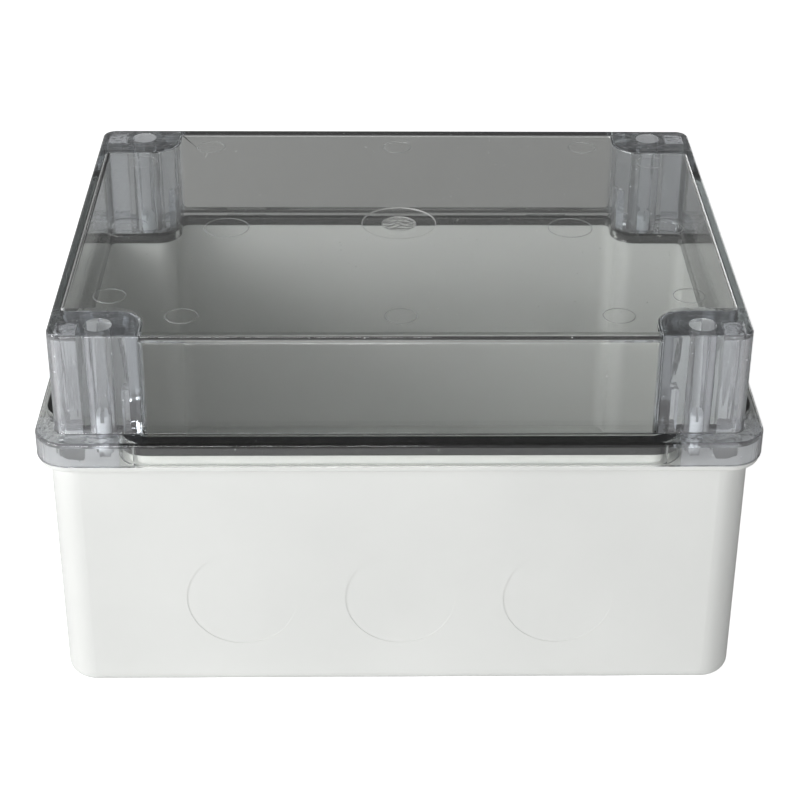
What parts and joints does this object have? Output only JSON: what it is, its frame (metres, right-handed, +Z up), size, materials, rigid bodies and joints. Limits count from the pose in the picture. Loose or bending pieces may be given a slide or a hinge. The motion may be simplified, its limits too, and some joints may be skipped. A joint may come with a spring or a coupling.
{
  "type": "hinged junction box",
  "caption": "Rectangular wall box with a grey moulded base and a deep clear lid that swings on two rear hinges and closes on a rubber seal with quarter-turn screws.",
  "frame": {"origin": "middle of the base's underside, midway between its outer walls", "axes": "+X along the long side, to the right seen from the front; +Y from the front to the hinges; +Z up towards the lid"},
  "size_m": [0.3204, 0.254, 0.182],
  "materials": {
    "base_plastic": "satin",
    "clear_plastic": "gloss",
    "seal_rubber": "matte",
    "screw_plastic": "satin",
    "ring_rubber": "matte",
    "pin_steel": "satin"
  },
  "bodies": {
    "base": {"base_shell": "base_plastic", "hinge_pin_left": "pin_steel", "hinge_pin_right": "pin_steel"},
    "lid": {"lid_shell": "clear_plastic", "lid_gasket": "seal_rubber"},
    "screw_front_left": {"lid_screw_front_left": "screw_plastic", "screw_ring_front_left": "ring_rubber"},
    "screw_front_right": {"lid_screw_front_right": "screw_plastic", "screw_ring_front_right": "ring_rubber"},
    "screw_rear_left": {"lid_screw_rear_left": "screw_plastic", "screw_ring_rear_left": "ring_rubber"},
    "screw_rear_right": {"lid_screw_rear_right": "screw_plastic", "screw_ring_rear_right": "ring_rubber"}
  },
  "joints": [
    {"name": "lid_hinge", "type": "hinge", "parent": "base", "child": "lid", "pos_m": [0, 0.12775, 0.1214], "axis": [-1, 0, 0], "range_deg": [0, 180]},
    {"name": "screw_turn_front_left", "type": "hinge", "parent": "lid", "child": "screw_front_left", "pos_m": [-0.13, -0.103, 0.1314], "axis": [0, 0, -1], "range_deg": [0, 90]},
    {"name": "screw_turn_front_right", "type": "hinge", "parent": "lid", "child": "screw_front_right", "pos_m": [0.13, -0.103, 0.1314], "axis": [0, 0, -1], "range_deg": [0, 90]},
    {"name": "screw_turn_rear_left", "type": "hinge", "parent": "lid", "child": "screw_rear_left", "pos_m": [-0.13, 0.103, 0.1314], "axis": [0, 0, -1], "range_deg": [0, 90]},
    {"name": "screw_turn_rear_right", "type": "hinge", "parent": "lid", "child": "screw_rear_right", "pos_m": [0.13, 0.103, 0.1314], "axis": [0, 0, -1], "range_deg": [0, 90]}
  ]
}
